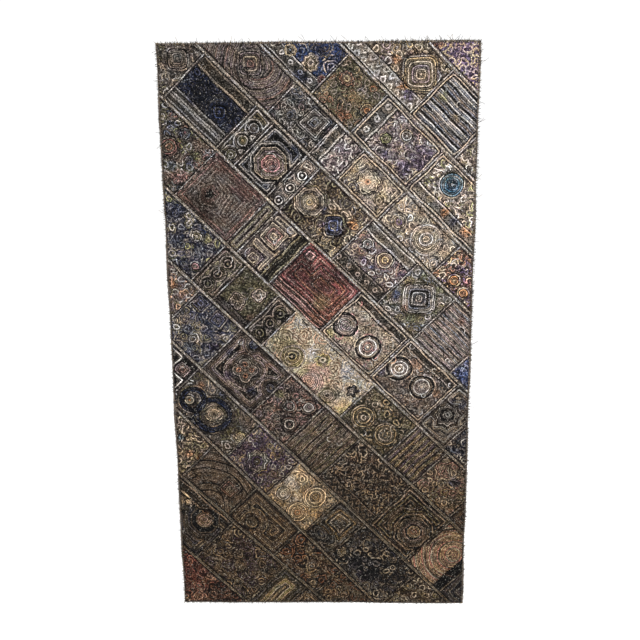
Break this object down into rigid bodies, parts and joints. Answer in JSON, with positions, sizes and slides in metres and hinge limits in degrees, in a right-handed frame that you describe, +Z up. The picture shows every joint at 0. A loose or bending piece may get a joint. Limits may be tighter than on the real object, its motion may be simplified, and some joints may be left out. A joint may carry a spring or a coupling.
{
  "type": "textile wall hanging",
  "caption": "Tall rectangular patchwork wall hanging: strips of metal thread embroidery sewn in diagonal rows on a cotton backing, with couched braids over the seams.",
  "frame": {"origin": "middle of the top edge of the backing cloth, in the middle of its thickness", "axes": "+Z up along the hanging's height, +X across it to the viewer's right, -Y out of its embroidered front"},
  "size_m": [0.9034, 0.0101, 1.762],
  "materials": {
    "cotton_backing": "plain undyed cotton, matt, with a fine even weave",
    "embroidery_navy": "navy cloth all but covered with couched metal thread, dull and worn, with a low sparkle",
    "embroidery_slate": "slate cloth all but covered with couched metal thread, dull and worn, with a low sparkle",
    "embroidery_silver": "silver cloth all but covered with couched metal thread, dull and worn, with a low sparkle",
    "embroidery_cream": "cream cloth all but covered with couched metal thread, dull and worn, with a low sparkle",
    "embroidery_peach": "peach cloth all but covered with couched metal thread, dull and worn, with a low sparkle",
    "embroidery_gold": "gold cloth all but covered with couched metal thread, dull and worn, with a low sparkle",
    "embroidery_olive": "olive cloth all but covered with couched metal thread, dull and worn, with a low sparkle",
    "embroidery_taupe": "taupe cloth all but covered with couched metal thread, dull and worn, with a low sparkle",
    "embroidery_brown": "brown cloth all but covered with couched metal thread, dull and worn, with a low sparkle",
    "embroidery_mauve": "mauve cloth all but covered with couched metal thread, dull and worn, with a low sparkle",
    "embroidery_plum": "plum cloth all but covered with couched metal thread, dull and worn, with a low sparkle",
    "embroidery_rust": "rust cloth all but covered with couched metal thread, dull and worn, with a low sparkle",
    "embroidery_crimson": "crimson cloth all but covered with couched metal thread, dull and worn, with a low sparkle",
    "embroidery_rose": "rose cloth all but covered with couched metal thread, dull and worn, with a low sparkle",
    "silver_braid": "plaited silver gilt thread, tarnished, with a soft metallic sheen"
  },
  "bodies": {
    "root": {"backing": "cotton_backing", "patch_01_1": "embroidery_plum", "patch_02_1": "embroidery_gold", "patch_02_2": "embroidery_slate", "patch_03_1": "embroidery_navy", "patch_03_2": "embroidery_olive", "patch_03_3": "embroidery_silver", "patch_03_4": "embroidery_slate", "patch_04_1": "embroidery_taupe", "patch_04_2": "embroidery_silver", "patch_04_3": "embroidery_cream", "patch_04_4": "embroidery_gold", "patch_04_5": "embroidery_rust", "patch_05_1": "embroidery_navy", "patch_05_2": "embroidery_silver", "patch_05_3": "embroidery_gold", "patch_05_4": "embroidery_mauve", "patch_05_5": "embroidery_olive", "patch_05_6": "embroidery_taupe", "patch_06_1": "embroidery_rose", "patch_06_2": "embroidery_brown", "patch_06_3": "embroidery_mauve", "patch_06_4": "embroidery_crimson", "patch_06_5": "embroidery_cream", "patch_06_6": "embroidery_peach", "patch_06_7": "embroidery_slate", "patch_07_1": "embroidery_slate", "patch_07_2": "embroidery_olive", "patch_07_3": "embroidery_cream", "patch_07_4": "embroidery_gold", "patch_07_5": "embroidery_plum", "patch_08_1": "embroidery_slate", "patch_08_2": "embroidery_brown", "patch_08_3": "embroidery_mauve", "patch_08_4": "embroidery_olive", "patch_08_5": "embroidery_taupe", "patch_08_6": "embroidery_rose", "patch_08_7": "embroidery_peach", "patch_09_1": "embroidery_navy", "patch_09_2": "embroidery_mauve", "patch_09_3": "embroidery_cream", "patch_09_4": "embroidery_plum", "patch_09_5": "embroidery_olive", "patch_10_1": "embroidery_taupe", "patch_10_2": "embroidery_brown", "patch_10_3": "embroidery_brown", "patch_11_1": "embroidery_slate", "patch_11_2": "embroidery_brown", "patch_12_1": "embroidery_crimson", "braid_01": "silver_braid", "braid_02": "silver_braid", "braid_03": "silver_braid", "braid_04": "silver_braid", "braid_05": "silver_braid", "braid_06": "silver_braid", "braid_07": "silver_braid", "braid_08": "silver_braid", "braid_09": "silver_braid", "braid_10": "silver_braid", "braid_11": "silver_braid"}
  },
  "joints": []
}
